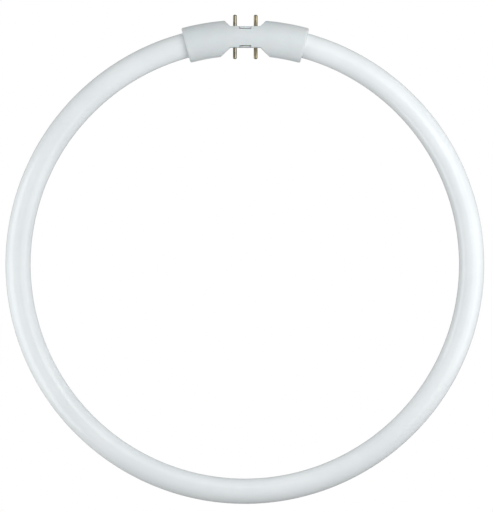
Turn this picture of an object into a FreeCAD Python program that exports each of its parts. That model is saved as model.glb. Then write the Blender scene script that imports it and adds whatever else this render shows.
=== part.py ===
import FreeCAD, Part

import math
import os

import Sketcher
from FreeCAD import Rotation, Vector

# A ring-shaped fluorescent lamp: one bent and sealed glass tube whose two ends meet inside a
# white plastic cap. The cap is two moulded half shells that snap together round the glass and
# round four brass pins, two pointing away from the ring's centre and two towards it.
#
# The finished lamp has its origin in the middle of the four pins, on the mid-plane of the ring.
# +Y points away from the ring's centre, +Z is the ring's axis and the front of the lamp.
# The pieces are drawn round the ring's centre and then shifted along Y by the base radius.

# Driving dimensions: name, size in millimetres, what it measures
DIMENSIONS = (
    ("ring_outer_diameter", 300.0, "across the outside of the glass ring"),
    ("tube_diameter", 15.8, "outside of the glass tube"),
    ("tube_end_distance", 15.0, "from the middle of the cap to the sealed end of the tube"),
    ("tube_end_round", 2.6, "rounding of the sealed ends"),
    ("flare_mouth_diameter", 8.6, "hollow in each sealed end, at its mouth"),
    ("flare_bottom_diameter", 5.0, "hollow in each sealed end, at its bottom"),
    ("flare_depth", 7.0, "depth of that hollow"),
    ("exhaust_tip_diameter", 2.6, "sealed exhaust tube that stands in the hollow"),
    ("exhaust_tip_setback", 0.8, "from the end of the glass back to the exhaust tip"),
    ("exhaust_tip_taper", 1.8, "length of the exhaust tip's melted cone"),
    ("cap_length", 74.5, "straight across the cap, end to end, on the tube's centre line"),
    ("cap_glass_gap", 1.7, "between the glass and the inside of the cap's wall"),
    ("cap_wall", 1.6, "thickness of the moulding"),
    ("cap_tube_clearance", 0.15, "between the glass and the cap, all round"),
    ("cap_end_round", 1.1, "rounding of the cap's two ends"),
    ("seam_chamfer", 0.25, "small bevel along the joint between the half shells"),
    ("saddle_distance", 18.6, "from the middle of the cap to the ribs that carry the glass"),
    ("saddle_thickness", 1.3, "thickness of those ribs"),
    ("base_offset", 0.5, "from the tube's centre line out to the middle of the pins"),
    ("neck_width", 13.4, "across the flat sides that the pins stand on"),
    ("neck_length", 19.0, "length of those flat sides"),
    ("neck_edge_round", 0.8, "rounding of the upper edges of the neck"),
    ("pin_spacing", 13.0, "between the centres of two pins side by side"),
    ("pin_diameter", 2.35, "shank of a pin"),
    ("pin_root_diameter", 2.8, "thicker root of a pin, inside the moulding"),
    ("pin_reach", 13.9, "from the middle of the base to the tip of a pin"),
    ("pin_tip_round", 0.85, "rounding of a pin's tip"),
    ("pin_bore", 0.9, "bore that the lead wire is fixed in"),
    ("pin_bore_end", 2.4, "solid metal between the bore and the tip"),
    ("pin_flange_diameter", 4.2, "flange that holds the pin in the cap"),
    ("pin_flange_thickness", 0.8, "thickness of that flange"),
    ("pin_clearance", 0.05, "between a pin and the moulding"),
    ("pin_rib_thickness", 0.9, "rib that backs the flanges"),
    ("outer_notch_depth", 1.7, "latch slot in the outer side of the neck"),
    ("inner_notch_depth", 1.25, "latch slot in the inner side of the neck"),
    ("notch_width", 7.4, "width of the latch slots"),
    ("tongue_width", 6.7, "width of the latch tongues"),
    ("tongue_height", 9.0, "from the joint between the shells to the end of a tongue"),
    ("tongue_root", 3.0, "how far down a tongue is joined to its wall"),
    ("tongue_taper", 0.45, "how much thinner a tongue is at its end"),
    ("tongue_gap", 0.4, "behind a tongue"),
    ("barb_depth", 0.5, "hook on the back of a tongue"),
    ("barb_height", 1.5, "sloping length of that hook"),
    ("barb_room_height", 7.8, "from the joint to the top of the space that the hooks move in"),
    ("catch_height", 4.6, "from the joint to the ledge that the hook snaps over"),
    ("catch_thickness", 2.4, "height of the ledge's bar"),
    ("catch_width", 6.4, "length of the ledge's bar"),
    ("latch_clearance", 0.2, "between a tongue and its catch bar, and below the hook"),
    ("lead_diameter", 0.5, "lead wire"),
    ("lead_offset", 2.0, "from the tube's centre line to where a lead leaves the glass"),
    ("lead_end_gap", 0.05, "between the glass and the end of a lead"),
    ("lead_rib_clearance", 0.6, "between a lead and the rib that backs the flanges"),
    ("lead_bend", 1.25, "bend radius of a lead"),
    ("lead_in_bore", 4.0, "length of a lead inside its pin"),
)

# Sizes that follow from the driving ones
RING_RADIUS = "((dims.ring_outer_diameter - dims.tube_diameter) / 2)"
BASE_RADIUS = f"({RING_RADIUS} + dims.base_offset)"
TUBE_RADIUS = "(dims.tube_diameter / 2)"
TUBE_END_ANGLE = f"asin(dims.tube_end_distance / {RING_RADIUS})"
CAP_RADIUS = f"({TUBE_RADIUS} + dims.cap_glass_gap + dims.cap_wall)"
CAP_HALF_ANGLE = f"asin(dims.cap_length / 2 / {RING_RADIUS})"
CORE_RADIUS = f"({CAP_RADIUS} - dims.cap_wall)"
CORE_HALF_ANGLE = f"({CAP_HALF_ANGLE} - asin(dims.cap_wall / {RING_RADIUS}))"
COLLAR_RADIUS = f"({TUBE_RADIUS} + dims.cap_tube_clearance)"
MID_WALL_RADIUS = f"({CAP_RADIUS} - dims.cap_wall / 2)"
SADDLE_ANGLE = f"asin(dims.saddle_distance / {RING_RADIUS})"
NECK_HALF_WIDTH = "(dims.neck_width / 2)"
NECK_HALF_LENGTH = "(dims.neck_length / 2)"
PIN_X = "(dims.pin_spacing / 2)"
PIN_RADIUS = "(dims.pin_diameter / 2)"
ROOT_RADIUS = "(dims.pin_root_diameter / 2)"
ROOT_END = f"({NECK_HALF_WIDTH} - dims.pin_clearance)"
FLANGE_OUTSIDE = f"({NECK_HALF_WIDTH} - dims.cap_wall - dims.pin_clearance)"
FLANGE_INSIDE = f"({FLANGE_OUTSIDE} - dims.pin_flange_thickness)"
RIB_OUTSIDE = f"({FLANGE_INSIDE} - dims.pin_clearance)"
RIB_INSIDE = f"({RIB_OUTSIDE} - dims.pin_rib_thickness)"
RIB_HALF_LENGTH = f"({PIN_X} + dims.pin_flange_diameter / 2)"
LEAD_RADIUS = "(dims.lead_diameter / 2)"
LEAD_CORNER = f"({RIB_INSIDE} - {LEAD_RADIUS} - dims.lead_rib_clearance)"
START, END, CENTRE = range(1, 4)
X_AXIS, Y_AXIS = range(-1, -3, -1)
ORIGIN_POINT = (X_AXIS, START)
FRONT = 1
BACK = -1
OUTER = 1
INNER = -1
RIGHT = 1
LEFT = -1
NOTCH_DEPTHS = {OUTER: "dims.outer_notch_depth", INNER: "dims.inner_notch_depth"}
FLAT = 1e-6


def fill_sheet(document):
    """Write the driving dimensions into the sheet, one named cell each."""
    sheet = document.addObject("Spreadsheet::Sheet", "dims")
    for row, (name, size, note) in enumerate(DIMENSIONS, start=1):
        sheet.set(f"A{row}", name.replace("_", " "))
        sheet.set(f"B{row}", str(size))
        sheet.setAlias(f"B{row}", name)
        sheet.set(f"C{row}", note)
    document.recompute()
    return sheet


def number(owner, expression):
    """The present value of an expression, in millimetres or degrees."""
    result = owner.Document.dims.evalExpression(expression)
    return float(getattr(result, "Value", result))


def datum(body, role):
    """One of the body's own base planes or axes."""
    return next(item for item in body.Origin.OriginFeatures if item.Role == role)


def add_body(document, name):
    """A piece drawn round the ring's centre and shifted to the lamp's origin."""
    body = document.addObject("PartDesign::Body", name)
    body.setExpression("Placement.Base.y", f"-{BASE_RADIUS}")
    return body


def add_sketch(body, name, plane, turn=None):
    """A sketch on a base plane, turned about the ring's axis where an angle is given."""
    sketch = body.newObject("Sketcher::SketchObject", name)
    sketch.AttachmentSupport = [(datum(body, plane), "")]
    sketch.MapMode = "FlatFace"
    if turn is not None:
        ring_axis = Vector(0, 0, 1) if plane == "XY_Plane" else Vector(0, 1, 0)
        angle = number(body, turn)
        sketch.AttachmentOffset = FreeCAD.Placement(Vector(), Rotation(ring_axis, angle))
        sketch.setExpression("AttachmentOffset.Rotation.Angle", turn)
    return sketch


def fix_point(sketch, geometry, point, x, y):
    """Tie a point of the sketch to two expressions, measured from the sketch's origin."""
    for kind, expression, axis in (("DistanceX", x, Y_AXIS), ("DistanceY", y, X_AXIS)):
        if expression == "0":
            sketch.addConstraint(Sketcher.Constraint("PointOnObject", geometry, point, axis))
            continue
        size = number(sketch, expression)
        rule = Sketcher.Constraint(kind, *ORIGIN_POINT, geometry, point, size)
        index = sketch.addConstraint(rule)
        sketch.setExpression(f"Constraints[{index}]", expression)


def fix_radius(sketch, geometry, radius):
    """Tie the radius of a circle or arc to an expression."""
    index = sketch.addConstraint(Sketcher.Constraint("Radius", geometry, number(sketch, radius)))
    sketch.setExpression(f"Constraints[{index}]", radius)


def add_polygon(sketch, corners):
    """A closed outline of straight lines through the corners."""
    first = sketch.GeometryCount
    points = [Vector(number(sketch, x), number(sketch, y), 0) for x, y in corners]
    count = len(points)
    for index, point in enumerate(points):
        sketch.addGeometry(Part.LineSegment(point, points[(index + 1) % count]), False)
    for index in range(count):
        following = first + (index + 1) % count
        joint = Sketcher.Constraint("Coincident", first + index, END, following, START)
        sketch.addConstraint(joint)
    for index, (x, y) in enumerate(corners):
        fix_point(sketch, first + index, START, x, y)


def add_rectangle(sketch, x_low, x_high, y_low, y_high):
    """An upright rectangle between two values each way."""
    add_polygon(sketch, ((x_low, y_low), (x_high, y_low), (x_high, y_high), (x_low, y_high)))


def add_circle(sketch, x, y, radius):
    """A circle with its centre and radius tied to expressions."""
    centre = Vector(number(sketch, x), number(sketch, y), 0)
    circle = Part.Circle(centre, Vector(0, 0, 1), number(sketch, radius))
    index = sketch.addGeometry(circle, False)
    fix_point(sketch, index, CENTRE, x, y)
    fix_radius(sketch, index, radius)


def add_half_arc(sketch, x, radius, side):
    """Half a circle above or below the sketch's x axis, with its ends on that axis."""
    centre = Vector(number(sketch, x), 0, 0)
    circle = Part.Circle(centre, Vector(0, 0, 1), number(sketch, radius))
    turn = 0 if side == FRONT else math.pi
    index = sketch.addGeometry(Part.ArcOfCircle(circle, turn, turn + math.pi), False)
    fix_point(sketch, index, CENTRE, x, "0")
    fix_radius(sketch, index, radius)
    for end in (START, END):
        sketch.addConstraint(Sketcher.Constraint("PointOnObject", index, end, X_AXIS))
    return index


def join_ends(sketch, first, first_end, second, second_end):
    """Close the gap between two arcs with a line from one end to the other."""
    start = sketch.getPoint(first, first_end)
    finish = sketch.getPoint(second, second_end)
    line = sketch.addGeometry(Part.LineSegment(start, finish), False)
    sketch.addConstraint(Sketcher.Constraint("Coincident", line, START, first, first_end))
    sketch.addConstraint(Sketcher.Constraint("Coincident", line, END, second, second_end))


def add_half_disc(sketch, x, radius, side):
    """A half disc standing on the sketch's x axis."""
    arc = add_half_arc(sketch, x, radius, side)
    join_ends(sketch, arc, START, arc, END)


def add_half_ring(sketch, x, inner_radius, outer_radius, side):
    """Half a flat ring standing on the sketch's x axis."""
    outer = add_half_arc(sketch, x, outer_radius, side)
    inner = add_half_arc(sketch, x, inner_radius, side)
    join_ends(sketch, outer, START, inner, START)
    join_ends(sketch, outer, END, inner, END)


def sweep_round_ring(body, kind, name, sketch, angle):
    """Revolve a sketch about the ring's axis, the same angle to both sides."""
    feature = body.newObject(kind, name)
    feature.Profile = sketch
    feature.ReferenceAxis = (datum(body, "Z_Axis"), [""])
    feature.Midplane = True
    feature.setExpression("Angle", angle)
    body.Document.recompute()
    return feature


def cut_through(body, name, sketch, length):
    """Cut a sketch's outlines out of the body, to both sides of the sketch."""
    feature = body.newObject("PartDesign::Pocket", name)
    feature.Profile = sketch
    feature.Type = "Length"
    feature.SideType = "Symmetric"
    feature.setExpression("Length", length)
    body.Document.recompute()
    return feature


def pad_both_ways(body, name, sketch, length):
    """Pad a sketch's outlines to both sides of the sketch."""
    feature = body.newObject("PartDesign::Pad", name)
    feature.Profile = sketch
    feature.Type = "Length"
    feature.SideType = "Symmetric"
    feature.setExpression("Length", length)
    body.Document.recompute()
    return feature


def mirror_left_right(body, name, feature):
    """Repeat a feature on the other side of the cap's middle."""
    mirrored = body.newObject("PartDesign::Mirrored", name)
    mirrored.Originals = [feature]
    mirrored.MirrorPlane = (datum(body, "YZ_Plane"), [""])
    body.Tip = mirrored
    body.Document.recompute()
    return mirrored


def edge_names(shape, picked):
    """The names that a shape gives to the picked edges."""
    return [
        f"Edge{index}"
        for index, edge in enumerate(shape.Edges, start=1)
        if any(edge.isSame(other) for other in picked)
    ]


def is_flat(face):
    """Whether a face lies in a plane."""
    return isinstance(face.Surface, Part.Plane)


def round_edges(body, name, base, names, radius):
    """Round the named edges of a feature."""
    feature = body.newObject("PartDesign::Fillet", name)
    feature.Base = (base, names)
    feature.setExpression("Radius", radius)
    body.Document.recompute()
    return feature


def tube_end_profile():
    """Corners of the hollow in a sealed end, from the tube's centre line outwards."""
    past_end = "-dims.tube_end_round"
    tip_cone = "(dims.exhaust_tip_setback + dims.exhaust_tip_taper)"
    tip_radius = f"({RING_RADIUS} + dims.exhaust_tip_diameter / 2)"
    bottom_radius = f"({RING_RADIUS} + dims.flare_bottom_diameter / 2)"
    mouth_radius = f"({RING_RADIUS} + dims.flare_mouth_diameter / 2)"
    return (
        (past_end, RING_RADIUS),
        ("dims.exhaust_tip_setback", RING_RADIUS),
        (tip_cone, tip_radius),
        ("dims.flare_depth", tip_radius),
        ("dims.flare_depth", bottom_radius),
        ("0", mouth_radius),
        (past_end, mouth_radius),
    )


def add_tube_axis(sketch):
    """A construction line along the tube's centre line at its sealed end."""
    height = number(sketch, RING_RADIUS)
    length = number(sketch, "dims.flare_depth")
    line = Part.LineSegment(Vector(0, height, 0), Vector(length, height, 0))
    index = sketch.addGeometry(line, True)
    fix_point(sketch, index, START, "0", RING_RADIUS)
    fix_point(sketch, index, END, "dims.flare_depth", RING_RADIUS)


def build_glass_tube(document):
    """The glass: a round tube bent into a ring, with a hollow and an exhaust tip in each end."""
    body = add_body(document, "glass_tube")
    section = add_sketch(body, "tube_section", "YZ_Plane")
    add_circle(section, f"-{RING_RADIUS}", "0", TUBE_RADIUS)
    ring = sweep_round_ring(
        body, "PartDesign::Revolution", "ring", section, f"360 deg - 2 * {TUBE_END_ANGLE}"
    )
    rims = [edge for face in ring.Shape.Faces if is_flat(face) for edge in face.Edges]
    rim_names = edge_names(ring.Shape, rims)
    round_edges(body, "sealed_ends", ring, rim_names, "dims.tube_end_round")
    hollow = add_sketch(body, "flare_section", "XY_Plane", f"-{TUBE_END_ANGLE}")
    add_tube_axis(hollow)
    add_polygon(hollow, tube_end_profile())
    flare = body.newObject("PartDesign::Groove", "flare")
    flare.Profile = hollow
    flare.ReferenceAxis = (hollow, ["Axis0"])
    flare.Angle = 360
    document.recompute()
    mirror_left_right(body, "flare_left", flare)
    return body


def neck_outline(side, inset):
    """Corners of the bite that makes one flat side of the neck and its two 45 degree shoulders."""
    half_width = f"({NECK_HALF_WIDTH} - {inset})"
    half_length = f"({NECK_HALF_LENGTH} + {inset} * tan(45 deg / 2))"
    near = f"({BASE_RADIUS} + {side} * {half_width})"
    far = f"({BASE_RADIUS} + {side} * ({half_width} + {CAP_RADIUS}))"
    wide = f"({half_length} + {CAP_RADIUS})"
    return (
        (f"-{half_length}", near),
        (half_length, near),
        (wide, far),
        (f"-{wide}", far),
    )


def build_arc_with_neck(body, side, radius, half_angle, inset="0"):
    """Half of a round arc with a narrow neck, with the neck's sides moved in by the inset."""
    section = add_sketch(body, f"{body.Name}_section", "YZ_Plane")
    add_half_disc(section, RING_RADIUS, radius, side)
    sweep_round_ring(
        body, "PartDesign::Revolution", f"{body.Name}_arc", section, f"2 * {half_angle}"
    )
    bites = add_sketch(body, f"{body.Name}_outline", "XY_Plane")
    for direction in (OUTER, INNER):
        add_polygon(bites, neck_outline(direction, inset))
    cut_through(body, f"{body.Name}_neck", bites, f"4 * {CAP_RADIUS}")


def seam_faces(shape):
    """The faces in the plane where the half shells meet."""
    return [
        face
        for face in shape.Faces
        if is_flat(face) and abs(face.CenterOfMass.z) < FLAT and abs(face.normalAt(0, 0).z) > FLAT
    ]


def rim_edges(shape, cap_radius):
    """Edges where the cap's round outside meets a flat upright face."""
    rims = []
    for face in shape.Faces:
        surface = face.Surface
        if not isinstance(surface, Part.Toroid) or abs(surface.MinorRadius - cap_radius) > FLAT:
            continue
        for edge in face.Edges:
            others = shape.ancestorsOfType(edge, Part.Face)
            if any(is_flat(other) and abs(other.normalAt(0, 0).z) < FLAT for other in others):
                rims.append(edge)
    return rims


def round_cap_rims(body, hollow, of_ends, name, radius):
    """Round the rims of the cap's two ends, or those of its neck."""
    rims = rim_edges(hollow.Shape, number(body, CAP_RADIUS))
    picked = [edge for edge in rims if isinstance(edge.Curve, Part.Circle) == of_ends]
    return round_edges(body, name, hollow, edge_names(hollow.Shape, picked), radius)


def bevel_seam(body, base):
    """Bevel the outline of the half shell in the seam plane."""
    outline = [edge for face in seam_faces(base.Shape) for edge in face.OuterWire.Edges]
    feature = body.newObject("PartDesign::Chamfer", "seam_bevel")
    feature.Base = (base, edge_names(base.Shape, outline))
    feature.setExpression("Size", "dims.seam_chamfer")
    body.Document.recompute()
    return feature


def build_cap_blank(body, side):
    """The outside of a half shell, hollowed to its wall by a core of the same form."""
    build_arc_with_neck(body, side, CAP_RADIUS, CAP_HALF_ANGLE)
    core = body.Document.addObject("PartDesign::Body", f"{body.Name}_core")
    build_arc_with_neck(core, side, CORE_RADIUS, CORE_HALF_ANGLE, "dims.cap_wall")
    hollow = body.newObject("PartDesign::Boolean", "hollow")
    hollow.Type = "Cut"
    hollow.setObjects([core])
    body.Document.recompute()
    ends = round_cap_rims(body, hollow, True, "end_rounds", "dims.cap_end_round")
    bevel = bevel_seam(body, ends)
    round_cap_rims(body, bevel, False, "neck_rounds", "dims.neck_edge_round")


def add_glass_seats(body, side):
    """The collar in each end of the cap and the rib further in, which both hold the glass."""
    bore = add_sketch(body, "collar_section", "YZ_Plane", CAP_HALF_ANGLE)
    add_half_disc(bore, RING_RADIUS, COLLAR_RADIUS, side)
    reach = f"4 * asin(dims.cap_wall / {RING_RADIUS})"
    collar = sweep_round_ring(body, "PartDesign::Groove", "collar", bore, reach)
    mirror_left_right(body, "collar_left", collar)
    section = add_sketch(body, "saddle_section", "YZ_Plane", SADDLE_ANGLE)
    add_half_ring(section, RING_RADIUS, COLLAR_RADIUS, MID_WALL_RADIUS, side)
    thickness = f"asin(dims.saddle_thickness / {RING_RADIUS})"
    saddle = sweep_round_ring(body, "PartDesign::Revolution", "saddle", section, thickness)
    mirror_left_right(body, "saddle_left", saddle)


def add_pin_seats(body, side):
    """The ribs that back the pins' flanges, and the channels that the pins lie in."""
    outline = add_sketch(body, "rib_outline", "XY_Plane")
    for direction in (OUTER, INNER):
        inside = f"({BASE_RADIUS} + {direction} * {RIB_INSIDE})"
        outside = f"({BASE_RADIUS} + {direction} * {RIB_OUTSIDE})"
        add_rectangle(outline, f"-{RIB_HALF_LENGTH}", RIB_HALF_LENGTH, inside, outside)
    ribs = body.newObject("PartDesign::Pad", "pin_ribs")
    ribs.Profile = outline
    ribs.Type = "UpToFirst"
    ribs.Reversed = side == BACK
    body.Document.recompute()
    channels = add_sketch(body, "pin_channels", "XZ_Plane")
    for hand in (LEFT, RIGHT):
        add_circle(channels, f"{hand} * {PIN_X}", "0", f"({ROOT_RADIUS} + dims.pin_clearance)")
    cut_through(body, "pin_holes", channels, f"2 * ({BASE_RADIUS} + dims.neck_width)")


def tongue_back(direction):
    """How far the back of a latch tongue lies from the middle of the base."""
    return f"({NECK_HALF_WIDTH} - {NOTCH_DEPTHS[direction]} + dims.tongue_gap)"


def add_latch_slots(body):
    """The slots in the neck that the tongues come up in, and the space behind them."""
    slots = add_sketch(body, "slot_outline", "XY_Plane")
    rooms = add_sketch(body, "barb_room_outline", "XY_Plane")
    half = "(dims.notch_width / 2)"
    for direction in (OUTER, INNER):
        past = f"({BASE_RADIUS} + {direction} * ({NECK_HALF_WIDTH} + dims.cap_wall))"
        for sketch, depth in ((slots, NOTCH_DEPTHS[direction]), (rooms, "dims.cap_wall")):
            bottom = f"({BASE_RADIUS} + {direction} * ({NECK_HALF_WIDTH} - {depth}))"
            add_rectangle(sketch, f"-{half}", half, bottom, past)
    cut_through(body, "latch_slots", slots, f"4 * {CAP_RADIUS}")
    cut_through(body, "barb_rooms", rooms, "2 * dims.barb_room_height")


def add_catches(body):
    """The bars behind the slots, sloped below and flat on top, that the tongues snap over."""
    profile = add_sketch(body, "catch_profile", "YZ_Plane")
    top = "dims.catch_height"
    middle = "(dims.catch_height - dims.catch_thickness / 2)"
    bottom = "(dims.catch_height - dims.catch_thickness)"
    for direction in (OUTER, INNER):
        root = f"({BASE_RADIUS} + {direction} * ({RIB_OUTSIDE} - dims.pin_rib_thickness / 2))"
        reach = f"({tongue_back(direction)} - dims.latch_clearance)"
        nose = f"({BASE_RADIUS} + {direction} * {reach})"
        add_polygon(profile, ((root, bottom), (nose, middle), (nose, top), (root, top)))
    pad_both_ways(body, "catches", profile, "dims.catch_width")


def add_tongues(body):
    """The latch tongues: flat springs, thinner towards their ends, with a hook on their backs."""
    blades = add_sketch(body, "tongue_profile", "YZ_Plane")
    root, end = "-dims.tongue_root", "dims.tongue_height"
    for direction in (OUTER, INNER):
        back = f"({BASE_RADIUS} + {direction} * {tongue_back(direction)})"
        front = f"({BASE_RADIUS} + {direction} * {NECK_HALF_WIDTH})"
        tip = f"({BASE_RADIUS} + {direction} * ({NECK_HALF_WIDTH} - dims.tongue_taper))"
        add_polygon(blades, ((back, root), (front, root), (front, "0"), (tip, end), (back, end)))
    pad_both_ways(body, "tongues", blades, "dims.tongue_width")
    profile = add_sketch(body, "barb_profile", "YZ_Plane")
    bottom = "(dims.catch_height + dims.latch_clearance)"
    top = f"({bottom} + dims.barb_height)"
    for direction in (OUTER, INNER):
        back = tongue_back(direction)
        tip = f"({BASE_RADIUS} + {direction} * ({back} - dims.barb_depth))"
        heel = f"({BASE_RADIUS} + {direction} * {back})"
        root = f"({BASE_RADIUS} + {direction} * ({back} + dims.barb_depth))"
        add_polygon(profile, ((root, bottom), (tip, bottom), (heel, top), (root, top)))
    pad_both_ways(body, "barbs", profile, "dims.catch_width")


def build_front_shell(document):
    """The half of the cap on the viewer's side, with the slots and catches of the latches."""
    body = add_body(document, "cap_front_shell")
    build_cap_blank(body, FRONT)
    add_glass_seats(body, FRONT)
    add_pin_seats(body, FRONT)
    add_latch_slots(body)
    add_catches(body)
    return body


def build_back_shell(document):
    """The other half of the cap, with the two latch tongues."""
    body = add_body(document, "cap_back_shell")
    build_cap_blank(body, BACK)
    add_glass_seats(body, BACK)
    add_pin_seats(body, BACK)
    add_tongues(body)
    return body


def pin_profile():
    """Corners of half a pin's section: distance from its axis, then from the base's middle."""
    bore = "(dims.pin_bore / 2)"
    flange = "(dims.pin_flange_diameter / 2)"
    bore_end = "(dims.pin_reach - dims.pin_bore_end)"
    return (
        (bore, FLANGE_INSIDE),
        (flange, FLANGE_INSIDE),
        (flange, FLANGE_OUTSIDE),
        (ROOT_RADIUS, FLANGE_OUTSIDE),
        (ROOT_RADIUS, ROOT_END),
        (PIN_RADIUS, ROOT_END),
        (PIN_RADIUS, "dims.pin_reach"),
        ("0", "dims.pin_reach"),
        ("0", bore_end),
        (bore, bore_end),
    )


def build_pin(document, name, direction, hand):
    """A turned brass pin, with a flange at its root and a bore for its lead wire."""
    body = document.addObject("PartDesign::Body", name)
    section = add_sketch(body, f"{name}_section", "XY_Plane")
    add_polygon(section, pin_profile())
    turned = body.newObject("PartDesign::Revolution", f"{name}_turned")
    turned.Profile = section
    turned.ReferenceAxis = (datum(body, "Y_Axis"), [""])
    turned.Angle = 360
    document.recompute()
    reach = number(body, "dims.pin_reach")
    tip = [edge for edge in turned.Shape.Edges if abs(edge.BoundBox.YMin - reach) < FLAT]
    tip_names = edge_names(turned.Shape, tip)
    round_edges(body, f"{name}_tip", turned, tip_names, "dims.pin_tip_round")
    body.setExpression("Placement.Base.x", f"{hand} * {PIN_X}")
    if direction == INNER:
        body.Placement.Rotation = Rotation(Vector(0, 0, 1), 180)
    return body


def lead_stations(direction, hand):
    """Where a lead starts in the glass, where its two straight runs meet and where it ends."""
    radius = f"({RING_RADIUS} + {direction} * dims.lead_offset)"
    depth = "(dims.flare_depth - dims.lead_end_gap)"
    start_x = f"({radius} * sin({TUBE_END_ANGLE}) + {depth} * cos({TUBE_END_ANGLE}))"
    start_y = f"({radius} * cos({TUBE_END_ANGLE}) - {depth} * sin({TUBE_END_ANGLE}))"
    corner_y = f"({BASE_RADIUS} + {direction} * {LEAD_CORNER})"
    end_y = f"({BASE_RADIUS} + {direction} * ({FLANGE_INSIDE} + dims.lead_in_bore))"
    pin_x = f"({hand} * {PIN_X})"
    return (f"({hand} * {start_x})", start_y), (pin_x, corner_y), (pin_x, end_y)


def add_lead_route(body, name, direction, hand):
    """A lead's route: straight out of the glass, one bend, then straight into its pin."""
    stations = lead_stations(direction, hand)
    start, corner, finish = (Vector(number(body, x), number(body, y), 0) for x, y in stations)
    route = add_sketch(body, name, "XY_Plane")
    out = route.addGeometry(Part.LineSegment(start, corner), False)
    into_pin = route.addGeometry(Part.LineSegment(corner, finish), False)
    route.addConstraint(Sketcher.Constraint("Coincident", out, END, into_pin, START))
    route.fillet(out, END, number(body, "dims.lead_bend"), True, True)
    bend, corner_point = range(into_pin + 1, route.GeometryCount)
    fix_radius(route, bend, "dims.lead_bend")
    fix_point(route, out, START, *stations[0])
    fix_point(route, corner_point, START, *stations[1])
    fix_point(route, into_pin, END, *stations[2])
    return route


def build_lead(document, name, direction, hand):
    """A lead wire from the bottom of the glass's hollow end into the bore of its pin."""
    body = add_body(document, name)
    route = add_lead_route(body, f"{name}_route", direction, hand)
    document.recompute()
    section = body.newObject("Sketcher::SketchObject", f"{name}_section")
    section.AttachmentSupport = [(route, "Edge1")]
    section.MapMode = "NormalToEdge"
    section.MapPathParameter = 0
    add_circle(section, "0", "0", LEAD_RADIUS)
    document.recompute()
    wire = body.newObject("PartDesign::AdditivePipe", f"{name}_wire")
    wire.Profile = section
    wire.Spine = (route, [])
    document.recompute()
    return body


def check_document(document, bodies):
    """Stop if any object failed, or if a piece isn't one valid solid."""
    for item in document.Objects:
        if "Invalid" in item.State or "Error" in item.State:
            raise RuntimeError(f"{item.Label} failed: {item.getStatusString()}")
    for body in bodies:
        shape = body.Shape
        if shape.isNull() or not shape.isValid() or len(shape.Solids) != 1:
            raise RuntimeError(f"{body.Label} is not one valid solid")


def build_lamp():
    """Build every piece of the lamp and return the bodies."""
    document = FreeCAD.newDocument("ring_lamp")
    fill_sheet(document)
    bodies = [
        build_glass_tube(document),
        build_front_shell(document),
        build_back_shell(document),
    ]
    for side_name, direction in (("outer", OUTER), ("inner", INNER)):
        for hand_name, hand in (("left", LEFT), ("right", RIGHT)):
            place = f"{side_name}_{hand_name}"
            bodies.append(build_pin(document, f"pin_{place}", direction, hand))
            bodies.append(build_lead(document, f"lead_{place}", direction, hand))
    document.recompute()
    check_document(document, bodies)
    return bodies


def main():
    """Build the lamp and write one file for each piece."""
    bodies = build_lamp()
    os.makedirs("parts", exist_ok=True)
    for body in bodies:
        body.Shape.exportStep(os.path.join("parts", f"{body.Label}.step"))
        print(f"{body.Label}: {body.Shape.Volume:.1f} cubic millimetres")


main()
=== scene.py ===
"""Dresses a ring-shaped fluorescent lamp: a bent glass tube whose ends meet in a plastic cap.

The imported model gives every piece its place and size. This script gives the glass a smooth mesh of
its own, gives every piece its finish, and lights the lamp from above as it lies on a pale table.
"""

import logging
import math
from dataclasses import dataclass
from enum import Enum

import bpy
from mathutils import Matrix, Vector


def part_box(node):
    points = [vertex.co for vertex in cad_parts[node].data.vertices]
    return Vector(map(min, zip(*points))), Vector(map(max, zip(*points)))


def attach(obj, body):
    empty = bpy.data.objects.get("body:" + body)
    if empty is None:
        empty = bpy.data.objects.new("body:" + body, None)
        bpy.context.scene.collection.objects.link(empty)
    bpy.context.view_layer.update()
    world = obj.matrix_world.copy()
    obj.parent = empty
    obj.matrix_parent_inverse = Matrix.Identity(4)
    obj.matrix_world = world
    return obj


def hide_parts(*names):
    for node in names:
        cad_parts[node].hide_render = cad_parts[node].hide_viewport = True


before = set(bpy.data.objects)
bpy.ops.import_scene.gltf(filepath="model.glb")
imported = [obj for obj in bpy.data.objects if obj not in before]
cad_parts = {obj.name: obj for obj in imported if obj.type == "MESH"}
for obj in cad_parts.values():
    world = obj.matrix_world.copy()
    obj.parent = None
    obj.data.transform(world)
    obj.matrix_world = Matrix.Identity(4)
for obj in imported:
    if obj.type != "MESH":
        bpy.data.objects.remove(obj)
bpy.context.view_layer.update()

log = logging.getLogger("ring_lamp")

MM = 0.001
BODY = "root"
Colour = tuple[float, float, float]
Socket = bpy.types.NodeSocket


class Slot(Enum):
    """The record's material slots, by the finish that each one names."""

    COATED_GLASS = "coated_glass"
    CAP_PLASTIC = "cap_plastic"
    PIN_BRASS = "pin_brass"
    LEAD_WIRE = "lead_wire"


class Grain(Enum):
    """Which way the fine marks of a surface run, as the stretch of its place along each axis."""

    EVEN = (1.0, 1.0, 1.0)
    ROUND_PIN = (0.04, 1.0, 0.04)


def srgb(red: int, green: int, blue: int) -> Colour:
    """Turn a colour as a screen shows it into linear light.

    Args:
        red: red, from 0 to 255.
        green: green, from 0 to 255.
        blue: blue, from 0 to 255.

    Returns:
        The linear colour, each channel from 0 to 1.
    """
    channels = (value / 255 for value in (red, green, blue))
    return tuple(c / 12.92 if c <= 0.04045 else ((c + 0.055) / 1.055) ** 2.4 for c in channels)


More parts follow.
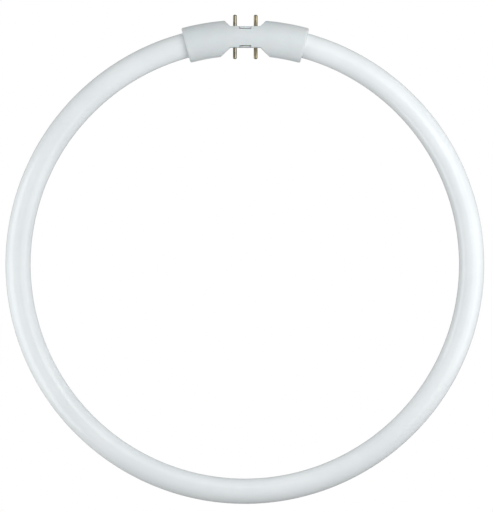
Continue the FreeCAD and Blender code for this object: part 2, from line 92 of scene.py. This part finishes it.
class Tree:
    """A node tree under construction."""

    def __init__(self, tree: bpy.types.NodeTree) -> None:
        """Start from an empty tree.

        Args:
            tree: the tree to fill. What it holds is removed.
        """
        self.tree = tree
        tree.nodes.clear()

    def node(self, kind: str, **settings: object) -> bpy.types.Node:
        """Add a node.

        Args:
            kind: the node's type name.
            settings: attributes of the node to set.

        Returns:
            The new node.
        """
        made = self.tree.nodes.new(kind)
        for name, value in settings.items():
            setattr(made, name, value)
        return made

    def feed(self, target: Socket, value: object) -> None:
        """Link a socket to a target, or set the target to a plain value.

        Args:
            target: the input that is fed.
            value: a socket, or a value that the input takes.
        """
        if isinstance(value, bpy.types.NodeSocket):
            self.tree.links.new(value, target)
        else:
            target.default_value = value

    def math(self, operation: str, *values: object) -> Socket:
        """Work out a sum, a product or another plain operation.

        Args:
            operation: the operation of the math node.
            values: its operands, sockets or numbers.

        Returns:
            The result's socket.
        """
        made = self.node("ShaderNodeMath", operation=operation)
        for index, value in enumerate(values):
            self.feed(made.inputs[index], value)
        return made.outputs[0]

    def blend(self, amount: object, low: object, high: object) -> Socket:
        """Blend two numbers.

        Args:
            amount: the share of the second number.
            low: the number at a share of 0.
            high: the number at a share of 1.

        Returns:
            The blended number's socket.
        """
        made = self.node("ShaderNodeMix", data_type="FLOAT")
        for index, value in ((0, amount), (2, low), (3, high)):
            self.feed(made.inputs[index], value)
        return made.outputs[0]

    def tint(self, amount: object, low: Colour, high: Colour) -> Socket:
        """Blend two colours.

        Args:
            amount: the share of the second colour.
            low: the colour at a share of 0.
            high: the colour at a share of 1.

        Returns:
            The blended colour's socket.
        """
        made = self.node("ShaderNodeMix", data_type="RGBA")
        self.feed(made.inputs[0], amount)
        self.feed(made.inputs[6], (*low, 1.0))
        self.feed(made.inputs[7], (*high, 1.0))
        return made.outputs[2]

    def noise(self, vector: Socket, scale: object, detail: float) -> Socket:
        """Read a noise pattern.

        Args:
            vector: where it is read.
            scale: how many of its features there are to a metre.
            detail: how many finer layers it has.

        Returns:
            The socket of its value, from 0 to 1 with 0.5 in the middle.
        """
        made = self.node("ShaderNodeTexNoise")
        self.feed(made.inputs["Vector"], vector)
        self.feed(made.inputs["Scale"], scale)
        made.inputs["Detail"].default_value = detail
        return made.outputs["Fac"]

    def ramp(self, value: Socket, low: float, high: float) -> Socket:
        """Stretch a number to 0 to 1 between two ends, with soft shoulders.

        Args:
            value: the number.
            low: what becomes 0.
            high: what becomes 1.

        Returns:
            The stretched number's socket.
        """
        made = self.node("ShaderNodeMapRange", interpolation_type="SMOOTHSTEP")
        self.feed(made.inputs["Value"], value)
        made.inputs["From Min"].default_value = low
        made.inputs["From Max"].default_value = high
        return made.outputs["Result"]

    def bump(self, height: Socket, depth: float) -> Socket:
        """Turn a height pattern into a normal.

        Args:
            height: the pattern, from 0 to 1.
            depth: how high 1 stands, in metres.

        Returns:
            The normal's socket.
        """
        made = self.node("ShaderNodeBump")
        made.inputs["Distance"].default_value = depth
        self.feed(made.inputs["Height"], height)
        return made.outputs["Normal"]


def new_group(name: str, inputs: dict[str, tuple[str, object]], outputs: dict[str, str]) -> Tree:
    """Start a shader node group.

    Args:
        name: the group's name.
        inputs: the type and first value of each input, by its name.
        outputs: the type of each output, by its name.

    Returns:
        The empty tree of the group.
    """
    group = bpy.data.node_groups.new(name, "ShaderNodeTree")
    for socket_name, (kind, value) in inputs.items():
        socket = group.interface.new_socket(socket_name, in_out="INPUT", socket_type=kind)
        if value is not None:
            socket.default_value = value
    for socket_name, kind in outputs.items():
        group.interface.new_socket(socket_name, in_out="OUTPUT", socket_type=kind)
    return Tree(group)


@dataclass(frozen=True)
class Layers:
    """How two layers of a noise make one pattern.

    Attributes:
        finer: how many times finer the second layer is.
        share: the second layer's share of the pattern.
        low: what becomes 0 in the mask.
        high: what becomes 1 in the mask.
    """

    finer: float
    share: float
    low: float
    high: float


class Effects:
    """The shader node groups that more than one finish uses, each built once."""

    patches = Layers(finer=4.3, share=0.35, low=0.32, high=0.68)
    marks = Layers(finer=2.7, share=0.4, low=0.55, high=0.72)

    def __init__(self) -> None:
        """Build the groups."""
        self.mottle = self._mottle()
        self.fine_marks = self._fine_marks()

    def _mottle(self) -> bpy.types.NodeTree:
        """Soft uneven patches, such as a coating's or a moulding's.

        Returns:
            The group, with Vector and Patches in, and Mask out.
        """
        kinds = {"Vector": ("NodeSocketVector", None), "Patches": ("NodeSocketFloat", 60.0)}
        made = new_group("soft_mottle", kinds, {"Mask": "NodeSocketFloat"})
        given = made.node("NodeGroupInput").outputs
        layers = self.patches
        wide = made.noise(given["Vector"], given["Patches"], detail=1.0)
        finer = made.math("MULTIPLY", given["Patches"], layers.finer)
        narrow = made.noise(given["Vector"], finer, detail=3.0)
        mask = made.ramp(made.blend(layers.share, wide, narrow), layers.low, layers.high)
        made.feed(made.node("NodeGroupOutput").inputs["Mask"], mask)
        return made.tree

    def _fine_marks(self) -> bpy.types.NodeTree:
        """Fine marks that run the way the vector is stretched.

        Returns:
            The group, with Vector and Marks in, and Height and Mask out.
        """
        kinds = {"Vector": ("NodeSocketVector", None), "Marks": ("NodeSocketFloat", 4000.0)}
        results = {"Height": "NodeSocketFloat", "Mask": "NodeSocketFloat"}
        made = new_group("fine_marks", kinds, results)
        given = made.node("NodeGroupInput").outputs
        layers = self.marks
        coarse = made.noise(given["Vector"], given["Marks"], detail=2.0)
        finer = made.math("MULTIPLY", given["Marks"], layers.finer)
        fine = made.noise(given["Vector"], finer, detail=2.0)
        result = made.node("NodeGroupOutput")
        made.feed(result.inputs["Height"], made.blend(layers.share, coarse, fine))
        made.feed(result.inputs["Mask"], made.ramp(coarse, layers.low, layers.high))
        return made.tree


@dataclass(frozen=True)
class Finish:
    """What every finish has: a name, a shader with its constants, and a pattern of its own."""

    effects: Effects

    def shader(
        self, name: str, **constants: float
    ) -> tuple[bpy.types.Material, Tree, bpy.types.Node]:
        """Start a material.

        Args:
            name: the material's name.
            constants: inputs of its shader, with spaces written as underscores.

        Returns:
            The material, its tree, and its shader node, which is linked to the output.
        """
        material = bpy.data.materials.new(name)
        material.use_nodes = True
        tree = Tree(material.node_tree)
        shader = tree.node("ShaderNodeBsdfPrincipled")
        for key, value in constants.items():
            shader.inputs[key.replace("_", " ")].default_value = value
        output = tree.node("ShaderNodeOutputMaterial")
        tree.feed(output.inputs["Surface"], shader.outputs["BSDF"])
        return material, tree, shader

    def place(self, tree: Tree, stretch: Grain = Grain.EVEN) -> Socket:
        """Read the place on the piece.

        Args:
            tree: the material's tree.
            stretch: which way the marks run.

        Returns:
            The socket of the place, in metres, shortened along the marks.
        """
        spot = tree.node("ShaderNodeTexCoord").outputs["Object"]
        if stretch is Grain.EVEN:
            return spot
        turned = tree.node("ShaderNodeMapping")
        tree.feed(turned.inputs["Vector"], spot)
        turned.inputs["Scale"].default_value = stretch.value
        return turned.outputs["Vector"]

    def effect(
        self, tree: Tree, group: bpy.types.NodeTree, vector: Socket, amount: float
    ) -> bpy.types.Node:
        """Place a shared effect in a material.

        Args:
            tree: the material's tree.
            group: the effect.
            vector: where it is read.
            amount: its second input, how many features there are to a metre.

        Returns:
            The group's node.
        """
        made = tree.node("ShaderNodeGroup", node_tree=group)
        tree.feed(made.inputs[0], vector)
        made.inputs[1].default_value = amount
        return made


@dataclass(frozen=True)
class CoatedGlass(Finish):
    """Clear glass over a white powder coating: a soft white under a gloss.

    Attributes:
        thick: the colour where the coating is thick.
        thin: the colour where the coating is thin.
        clouds: how many patches of coating there are to a metre.
        haze_marks: how many specks of haze there are to a metre.
        clear: the roughness of the clean glass.
        hazed: the roughness of the hazed glass.
        draw_lines: how many faint lines there are round the tube.
        draw_stretch: how many such lines follow each other along the tube.
        wave_depth: how high those lines stand.
        ior: the index of refraction.
    """

    thick: Colour = srgb(243, 248, 250)
    thin: Colour = srgb(239, 245, 247)
    clouds: float = 28.0
    haze_marks: float = 900.0
    clear: float = 0.16
    hazed: float = 0.19
    draw_lines: float = 24.0
    draw_stretch: float = 5.0
    wave_depth: float = 0.004 * MM
    ior: float = 1.5

    def make(self) -> bpy.types.Material:
        """Build the material on the tube's own map, which runs along it and round it.

        Returns:
            The material.
        """
        material, tree, shader = self.shader("coated_glass_finish", IOR=self.ior)
        spot = self.place(tree)
        coating = self.effect(tree, self.effects.mottle, spot, self.clouds).outputs["Mask"]
        tree.feed(shader.inputs["Base Color"], tree.tint(coating, self.thin, self.thick))
        lines = tree.noise(self._along_tube(tree), scale=1.0, detail=1.0)
        haze = self.effect(tree, self.effects.fine_marks, spot, self.haze_marks).outputs["Mask"]
        tree.feed(shader.inputs["Roughness"], tree.blend(haze, self.clear, self.hazed))
        tree.feed(shader.inputs["Normal"], tree.bump(lines, self.wave_depth))
        return material

    def _along_tube(self, tree: Tree) -> Socket:
        """Stretch the tube's map into faint lines that run along the glass.

        Args:
            tree: the material's tree.

        Returns:
            The stretched map's socket.
        """
        mapped = tree.node("ShaderNodeMapping")
        tree.feed(mapped.inputs["Vector"], tree.node("ShaderNodeTexCoord").outputs["UV"])
        mapped.inputs["Scale"].default_value = (self.draw_stretch, self.draw_lines, 1.0)
        return mapped.outputs["Vector"]


@dataclass(frozen=True)
class MouldedPlastic(Finish):
    """White moulded plastic with a satin, finely eroded mould texture.

    Attributes:
        light: the lighter colour of the melt's flow.
        shade: the darker colour of the melt's flow.
        flow_patches: how many patches of flow there are to a metre.
        grain_marks: how many grains there are to a metre.
        grain_depth: how high a grain stands.
        smooth: the roughness between the grains.
        eroded: the roughness on the grains.
        depth_share: the share of the light that goes into the plastic.
        depth: how far that light goes in.
        ior: the index of refraction.
    """

    light: Colour = srgb(226, 232, 234)
    shade: Colour = srgb(221, 228, 230)
    flow_patches: float = 45.0
    grain_marks: float = 2600.0
    grain_depth: float = 0.012 * MM
    smooth: float = 0.36
    eroded: float = 0.46
    depth_share: float = 0.12
    depth: float = 0.8 * MM
    ior: float = 1.49

    def make(self) -> bpy.types.Material:
        """Build the material.

        Returns:
            The material.
        """
        material, tree, shader = self.shader(
            "moulded_plastic_finish",
            IOR=self.ior,
            Subsurface_Weight=self.depth_share,
            Subsurface_Scale=self.depth,
        )
        spot = self.place(tree)
        flow = self.effect(tree, self.effects.mottle, spot, self.flow_patches).outputs["Mask"]
        tree.feed(shader.inputs["Base Color"], tree.tint(flow, self.shade, self.light))
        grain = self.effect(tree, self.effects.fine_marks, spot, self.grain_marks)
        rough = tree.blend(grain.outputs["Mask"], self.smooth, self.eroded)
        tree.feed(shader.inputs["Roughness"], rough)
        tree.feed(shader.inputs["Normal"], tree.bump(grain.outputs["Height"], self.grain_depth))
        return material


@dataclass(frozen=True)
class TurnedBrass(Finish):
    """Turned brass, a little dull, with fine tool marks round each pin.

    Attributes:
        bright: the colour of the clean metal.
        tarnish: the colour of the dull metal.
        stains: how many stains there are to a metre.
        tool_marks: how many tool marks there are to a metre.
        mark_depth: how high a tool mark stands.
        dull: the roughness of the dull metal.
        clean: the roughness of the clean metal.
    """

    bright: Colour = srgb(160, 152, 129)
    tarnish: Colour = srgb(136, 128, 106)
    stains: float = 420.0
    tool_marks: float = 5200.0
    mark_depth: float = 0.004 * MM
    dull: float = 0.22
    clean: float = 0.15

    def make(self) -> bpy.types.Material:
        """Build the material.

        Returns:
            The material.
        """
        material, tree, shader = self.shader("turned_brass_finish", Metallic=1.0)
        spot = self.place(tree)
        shine = self.effect(tree, self.effects.mottle, spot, self.stains).outputs["Mask"]
        tree.feed(shader.inputs["Base Color"], tree.tint(shine, self.tarnish, self.bright))
        turned = self.place(tree, Grain.ROUND_PIN)
        marks = self.effect(tree, self.effects.fine_marks, turned, self.tool_marks)
        tree.feed(shader.inputs["Roughness"], tree.blend(shine, self.dull, self.clean))
        tree.feed(shader.inputs["Normal"], tree.bump(marks.outputs["Height"], self.mark_depth))
        return material


@dataclass(frozen=True)
class TinnedWire(Finish):
    """Drawn wire with a thin tin coat.

    Attributes:
        bright: the colour of the thick coat.
        dull: the colour of the thin coat.
        coat_patches: how many patches of coat there are to a metre.
        draw_marks: how many drawing marks there are to a metre.
        mark_depth: how high a drawing mark stands.
        bare: the roughness of the thin coat.
        coated: the roughness of the thick coat.
    """

    bright: Colour = srgb(206, 204, 198)
    dull: Colour = srgb(168, 164, 156)
    coat_patches: float = 900.0
    draw_marks: float = 7000.0
    mark_depth: float = 0.004 * MM
    bare: float = 0.42
    coated: float = 0.28

    def make(self) -> bpy.types.Material:
        """Build the material.

        Returns:
            The material.
        """
        material, tree, shader = self.shader("tinned_wire_finish", Metallic=1.0)
        spot = self.place(tree)
        coat = self.effect(tree, self.effects.mottle, spot, self.coat_patches).outputs["Mask"]
        tree.feed(shader.inputs["Base Color"], tree.tint(coat, self.dull, self.bright))
        marks = self.effect(tree, self.effects.fine_marks, spot, self.draw_marks)
        tree.feed(shader.inputs["Roughness"], tree.blend(coat, self.bare, self.coated))
        tree.feed(shader.inputs["Normal"], tree.bump(marks.outputs["Height"], self.mark_depth))
        return material


def dress_nodes(prefix: str, material: bpy.types.Material) -> None:
    """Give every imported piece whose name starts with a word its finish.

    Args:
        prefix: the start of the pieces' names.
        material: the finish.
    """
    for name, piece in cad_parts.items():
        if name.startswith(prefix):
            piece.data.materials.clear()
            piece.data.materials.append(material)
            log.info("%s wears %s", name, material.name)


@dataclass
class GlassTube:
    """The glass: a round tube bent into a ring, with a hollow and an exhaust tip in each end.

    Attributes:
        end_distance: from the middle of the cap to the sealed end.
        end_round: rounding of the sealed end.
        flare_mouth: radius of the hollow at its mouth.
        flare_bottom: radius of the hollow at its bottom.
        flare_depth: depth of the hollow.
        tip_radius: radius of the exhaust tube in the hollow.
        tip_setback: from the sealed end back to the exhaust tip.
        tip_taper: length of the exhaust tip's cone.
        station_gap: most that two rings of points lie apart along the tube.
        round_steps: steps of the rounding.
        segments: faces round the tube.
        merge_distance: how near two points of a pole lie before they are one.
        sharp_angle: how far an edge turns, in degrees, before it stays sharp.
    """

    end_distance: float = 15.0 * MM
    end_round: float = 2.6 * MM
    flare_mouth: float = 4.3 * MM
    flare_bottom: float = 2.5 * MM
    flare_depth: float = 7.0 * MM
    tip_radius: float = 1.3 * MM
    tip_setback: float = 0.8 * MM
    tip_taper: float = 1.8 * MM
    station_gap: float = 1.3 * MM
    round_steps: int = 10
    segments: int = 84
    merge_distance: float = 0.0005 * MM
    sharp_angle: float = 40.0

    def __post_init__(self) -> None:
        """Take the ring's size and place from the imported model."""
        low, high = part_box("glass_tube")
        self.tube_radius = high.z
        self.ring_radius = high.x - self.tube_radius
        self.centre_y = low.y + high.x
        turn = math.pi - math.asin(self.end_distance / self.ring_radius)
        self.half_length = turn * self.ring_radius

    def half_profile(self) -> list[tuple[float, float]]:
        """Draw the right half's outline, from opposite the cap to the exhaust tip.

        Returns:
            Points of the outline: the way along the tube, and the distance from its centre line.
        """
        end, outside = self.half_length, self.tube_radius
        straight = end - self.end_round
        steps = round(straight / self.station_gap)
        points = [(straight * index / steps, outside) for index in range(steps)]
        for step in range(self.round_steps + 1):
            turn = math.pi / 2 * step / self.round_steps
            along = straight + self.end_round * math.sin(turn)
            points.append((along, outside - self.end_round * (1 - math.cos(turn))))
        bottom = end - self.flare_depth
        points.append((end, self.flare_mouth))
        points.append((bottom, self.flare_bottom))
        points.append((bottom, self.tip_radius))
        points.append((end - self.tip_setback - self.tip_taper, self.tip_radius))
        points.append((end - self.tip_setback, 0.0))
        return points

    def sweep_tree(self) -> bpy.types.NodeTree:
        """Build the tree that sweeps an outline round the bent centre line.

        Returns:
            The geometry tree, with Outline, Ring Radius, Centre Y, Segments and Finish in.
        """
        group = bpy.data.node_groups.new("sweep_round_ring", "GeometryNodeTree")
        group.interface.new_socket("Outline", in_out="INPUT", socket_type="NodeSocketGeometry")
        for name in ("Ring Radius", "Centre Y"):
            group.interface.new_socket(name, in_out="INPUT", socket_type="NodeSocketFloat")
        group.interface.new_socket("Segments", in_out="INPUT", socket_type="NodeSocketInt")
        group.interface.new_socket("Finish", in_out="INPUT", socket_type="NodeSocketMaterial")
        group.interface.new_socket("Tube", in_out="OUTPUT", socket_type="NodeSocketGeometry")
        tree = Tree(group)
        given = tree.node("NodeGroupInput").outputs
        count = tree.node("GeometryNodeAttributeDomainSize", component="MESH")
        tree.feed(count.inputs["Geometry"], given["Outline"])
        grid = tree.node("GeometryNodeMeshGrid")
        across = tree.math("ADD", given["Segments"], 1.0)
        tree.feed(grid.inputs["Vertices X"], count.outputs["Point Count"])
        tree.feed(grid.inputs["Vertices Y"], across)
        mapped = tree.node(
            "GeometryNodeStoreNamedAttribute", data_type="FLOAT2", domain="CORNER"
        )
        tree.feed(mapped.inputs["Geometry"], grid.outputs["Mesh"])
        tree.feed(mapped.inputs["Name"], "UVMap")
        tree.feed(mapped.inputs["Value"], grid.outputs["UV Map"])
        placed = tree.node("GeometryNodeSetPosition")
        tree.feed(placed.inputs["Geometry"], mapped.outputs["Geometry"])
        tree.feed(placed.inputs["Position"], self._swept_place(tree, given, across))
        merged = tree.node("GeometryNodeMergeByDistance")
        merged.inputs["Distance"].default_value = self.merge_distance
        tree.feed(merged.inputs["Geometry"], placed.outputs["Geometry"])
        smooth = tree.node("GeometryNodeSetShadeSmooth")
        tree.feed(smooth.inputs["Geometry"], merged.outputs["Geometry"])
        real = tree.node("GeometryNodeRealizeInstances")
        tree.feed(real.inputs["Geometry"], smooth.outputs["Geometry"])
        dressed = tree.node("GeometryNodeSetMaterial")
        tree.feed(dressed.inputs["Geometry"], real.outputs["Geometry"])
        tree.feed(dressed.inputs["Material"], given["Finish"])
        tree.feed(tree.node("NodeGroupOutput").inputs["Tube"], dressed.outputs["Geometry"])
        return group

    def _swept_place(
        self, tree: Tree, given: bpy.types.bpy_prop_collection, across: Socket
    ) -> Socket:
        """Work out where each point of the grid goes.

        Args:
            tree: the geometry tree.
            given: the tree's inputs.
            across: how many points of the grid go round the tube.

        Returns:
            The socket of the place.
        """
        index = tree.node("GeometryNodeInputIndex").outputs["Index"]
        station = tree.math("FLOOR", tree.math("DIVIDE", index, across))
        around = tree.math("SUBTRACT", index, tree.math("MULTIPLY", station, across))
        picked = tree.node("GeometryNodeSampleIndex", data_type="FLOAT_VECTOR", domain="POINT")
        tree.feed(picked.inputs["Geometry"], given["Outline"])
        spot = tree.node("GeometryNodeInputPosition").outputs["Position"]
        tree.feed(picked.inputs["Value"], spot)
        tree.feed(picked.inputs["Index"], station)
        point = tree.node("ShaderNodeSeparateXYZ")
        tree.feed(point.inputs["Vector"], picked.outputs["Value"])
        step = tree.math("DIVIDE", math.tau, given["Segments"])
        turn = tree.math("MULTIPLY", around, step)
        bend = tree.math("DIVIDE", point.outputs["X"], given["Ring Radius"])
        sideways = tree.math("MULTIPLY", point.outputs["Y"], tree.math("COSINE", turn))
        reach = tree.math("ADD", given["Ring Radius"], sideways)
        place = tree.node("ShaderNodeCombineXYZ")
        tree.feed(place.inputs["X"], tree.math("MULTIPLY", reach, tree.math("SINE", bend)))
        down = tree.math("MULTIPLY", reach, tree.math("COSINE", bend))
        tree.feed(place.inputs["Y"], tree.math("SUBTRACT", given["Centre Y"], down))
        height = tree.math("MULTIPLY", point.outputs["Y"], tree.math("SINE", turn))
        tree.feed(place.inputs["Z"], height)
        return place.outputs["Vector"]

    def build(self, finish: bpy.types.Material) -> bpy.types.Object:
        """Make the tube's mesh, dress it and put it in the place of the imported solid.

        Args:
            finish: the coated glass.

        Returns:
            The tube.
        """
        right = self.half_profile()
        left = [(-along, away) for along, away in reversed(right[1:])]
        outline = bpy.data.meshes.new("tube_outline")
        points = [(along, away, 0.0) for along, away in left + right]
        outline.from_pydata(points, [(i, i + 1) for i in range(len(points) - 1)], [])
        piece = bpy.data.objects.new("bent_glass_tube", outline)
        bpy.context.scene.collection.objects.link(piece)
        sizes = {
            "Ring Radius": self.ring_radius,
            "Centre Y": self.centre_y,
            "Segments": self.segments,
            "Finish": finish,
        }
        bake_tree(piece, self.sweep_tree(), sizes)
        piece.data.set_sharp_from_angle(angle=math.radians(self.sharp_angle))
        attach(piece, BODY)
        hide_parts("glass_tube")
        log.info("%s has %d faces", piece.name, len(piece.data.polygons))
        return piece


def bake_tree(piece: bpy.types.Object, tree: bpy.types.NodeTree, sizes: dict[str, object]) -> None:
    """Run a geometry tree on a piece and keep its result as a plain mesh.

    Args:
        piece: the piece, whose mesh is the tree's input.
        tree: the geometry tree.
        sizes: the value of each named input.
    """
    modifier = piece.modifiers.new(tree.name, "NODES")
    modifier.node_group = tree
    for item in tree.interface.items_tree:
        if item.item_type == "SOCKET" and item.name in sizes:
            modifier[item.identifier] = sizes[item.name]
    graph = bpy.context.evaluated_depsgraph_get()
    mesh = bpy.data.meshes.new_from_object(piece.evaluated_get(graph))
    piece.modifiers.clear()
    piece.data = mesh


@dataclass(frozen=True)
class Softbox:
    """A flat studio light, aimed at the middle of the lamp.

    Attributes:
        name: the light's name.
        turn: its direction round the lamp, in degrees from +X towards +Y.
        lift: its direction above the ring's plane, in degrees.
        distance: from the middle of the lamp, in metres.
        width: its width, in metres.
        height: its height, in metres.
        power: its power, in watts.
    """

    name: str
    turn: float
    lift: float
    distance: float
    width: float
    height: float
    power: float

    def build(self, aim: Vector) -> bpy.types.Object:
        """Hang the light.

        Args:
            aim: the point it is aimed at.

        Returns:
            The light, which the camera doesn't see.
        """
        data = bpy.data.lights.new(self.name, "AREA")
        data.shape = "RECTANGLE"
        data.size = self.width
        data.size_y = self.height
        data.energy = self.power
        light = bpy.data.objects.new(self.name, data)
        turn, lift = math.radians(self.turn), math.radians(self.lift)
        level = math.cos(lift)
        way = Vector((level * math.cos(turn), level * math.sin(turn), math.sin(lift)))
        light.location = aim + way * self.distance
        light.rotation_euler = way.to_track_quat("Z", "Y").to_euler()
        light.visible_camera = False
        bpy.context.scene.collection.objects.link(light)
        return light


SOFTBOXES = (
    Softbox("key_right", 2.0, 45.0, 0.9, 0.9, 0.9, 3.7),
    Softbox("high_right", 56.0, 50.0, 0.6, 0.5, 0.5, 0.85),
    Softbox("low_right", 352.0, 15.0, 0.9, 0.7, 0.6, 1.25),
    Softbox("low_left", 190.0, 18.0, 0.55, 0.75, 0.35, 1.6),
    Softbox("low_back", 100.0, 20.0, 0.5, 0.6, 0.3, 0.15),
)


@dataclass
class Studio:
    """The pale table, the lights and the camera over the lamp.

    Attributes:
        camera_height: how far the camera is above the ring's plane.
        frame_width: width of the picture, in pixels.
        frame_height: height of the picture, in pixels.
        millimetres_per_pixel: the picture's scale on the ring's plane.
        ring_middle_x: where the ring's middle is in the picture, in pixels from the left.
        ring_middle_y: where the ring's middle is in the picture, in pixels from the top.
        lamp_turn: how far the lamp lies turned in the picture, in degrees.
        sensor: the camera's sensor along the picture's longer side, in millimetres.
        table_size: length of the table's sides.
        table_gap: how far the table is below the places that the lamp rests on.
        table_seen: the table's brightness to the camera.
        table_bounce: the share of light that the table throws back.
        surround_seen: the surroundings' brightness to the camera.
        surround_light: the surroundings' brightness to the lamp.
    """

    camera_height: float = 7.0
    frame_width: int = 493
    frame_height: int = 512
    millimetres_per_pixel: float = 0.6266
    ring_middle_x: float = 244.85
    ring_middle_y: float = 264.45
    lamp_turn: float = 0.12
    sensor: float = 36.0
    table_size: float = 30.0
    table_gap: float = 0.001 * MM
    table_seen: float = 1.0
    table_bounce: float = 0.4
    surround_seen: float = 1.0
    surround_light: float = 0.328

    def build(self, centre: Vector, cap_bottom: Vector, far_bottom: Vector) -> None:
        """Set up the table, the lights, the surroundings and the camera.

        Args:
            centre: the middle of the ring.
            cap_bottom: where the back of the cap's ends touches the table.
            far_bottom: where the far side of the glass touches it.
        """
        self.table(cap_bottom, far_bottom)
        self.surround()
        for light in SOFTBOXES:
            light.build(centre)
        self.camera(centre)
        scene = bpy.context.scene
        scene.view_settings.view_transform = "Standard"

    def table(self, cap_bottom: Vector, far_bottom: Vector) -> None:
        """Lay the table under the two places that the lamp rests on.

        Args:
            cap_bottom: where the back of the cap's ends touches it.
            far_bottom: where the far side of the glass touches it.
        """
        top = cap_bottom.z - self.table_gap
        slope = (cap_bottom.z - far_bottom.z) / (cap_bottom.y - far_bottom.y)
        half = self.table_size / 2
        corners = []
        for x, y in ((-half, -half), (half, -half), (half, half), (-half, half)):
            corners.append((x, y, top + slope * (y - cap_bottom.y)))
        mesh = bpy.data.meshes.new("table")
        mesh.from_pydata(corners, [], [(0, 1, 2, 3)])
        table = bpy.data.objects.new("table", mesh)
        bpy.context.scene.collection.objects.link(table)
        mesh.materials.append(self.table_finish())

    def table_finish(self) -> bpy.types.Material:
        """Make the table: plain white to look at, pale grey to the lamp, and clear from below.

        Returns:
            The material.
        """
        material = bpy.data.materials.new("table_finish")
        material.use_nodes = True
        tree = Tree(material.node_tree)
        bounce = tree.node("ShaderNodeBsdfDiffuse")
        grey = self.table_bounce
        bounce.inputs["Color"].default_value = (grey, grey, grey, 1.0)
        seen = tree.node("ShaderNodeEmission")
        seen.inputs["Strength"].default_value = self.table_seen
        mix = tree.node("ShaderNodeMixShader")
        tree.feed(mix.inputs[0], tree.node("ShaderNodeLightPath").outputs["Is Camera Ray"])
        tree.feed(mix.inputs[1], bounce.outputs["BSDF"])
        tree.feed(mix.inputs[2], seen.outputs["Emission"])
        underside = tree.node("ShaderNodeMixShader")
        tree.feed(underside.inputs[0], tree.node("ShaderNodeNewGeometry").outputs["Backfacing"])
        tree.feed(underside.inputs[1], mix.outputs["Shader"])
        tree.feed(underside.inputs[2], tree.node("ShaderNodeBsdfTransparent").outputs["BSDF"])
        output = tree.node("ShaderNodeOutputMaterial")
        tree.feed(output.inputs["Surface"], underside.outputs["Shader"])
        return material

    def surround(self) -> None:
        """Make the surroundings white to look at, and dim in their light."""
        world = bpy.data.worlds.new("surround")
        world.use_nodes = True
        tree = Tree(world.node_tree)
        look = tree.node("ShaderNodeLightPath").outputs["Is Camera Ray"]
        light = tree.node("ShaderNodeBackground")
        light.inputs["Color"].default_value = (1.0, 1.0, 1.0, 1.0)
        strength = tree.blend(look, self.surround_light, self.surround_seen)
        tree.feed(light.inputs["Strength"], strength)
        output = tree.node("ShaderNodeOutputWorld")
        tree.feed(output.inputs["Surface"], light.outputs["Background"])
        bpy.context.scene.world = world

    def camera(self, centre: Vector) -> None:
        """Hang the camera over the ring, looking straight down.

        Args:
            centre: the middle of the ring.
        """
        scale = self.millimetres_per_pixel * MM
        data = bpy.data.cameras.new("overhead_camera")
        data.sensor_width = self.sensor
        data.lens = self.sensor * self.camera_height / (self.frame_height * scale)
        camera = bpy.data.objects.new("overhead_camera", data)
        right = (self.frame_width / 2 - self.ring_middle_x) * scale
        up = (self.ring_middle_y - self.frame_height / 2) * scale
        camera.location = (centre.x + right, centre.y + up, self.camera_height)
        camera.rotation_euler.z = math.radians(self.lamp_turn)
        bpy.context.scene.collection.objects.link(camera)
        bpy.context.scene.camera = camera


def resting_places(tube: GlassTube) -> tuple[Vector, Vector]:
    """Find where the lamp touches the table.

    Args:
        tube: the glass.

    Returns:
        A point level with the back of the cap's two ends, and the far side of the glass.
    """
    low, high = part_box("cap_back_shell")
    cap_end = math.asin(high.x / (tube.ring_radius - low.z))
    near = tube.centre_y + tube.ring_radius * math.cos(cap_end)
    far = tube.centre_y - tube.ring_radius
    return Vector((0.0, near, low.z)), Vector((0.0, far, -tube.tube_radius))


def main() -> None:
    """Build the lamp's pieces in order, then the studio round it."""
    logging.basicConfig(level=logging.INFO, format="%(message)s")
    effects = Effects()
    tube = GlassTube()
    tube.build(CoatedGlass(effects).make())
    dress_nodes("cap_", MouldedPlastic(effects).make())
    dress_nodes("pin_", TurnedBrass(effects).make())
    dress_nodes("lead_", TinnedWire(effects).make())
    Studio().build(Vector((0.0, tube.centre_y, 0.0)), *resting_places(tube))


if __name__ == "__main__":
    main()
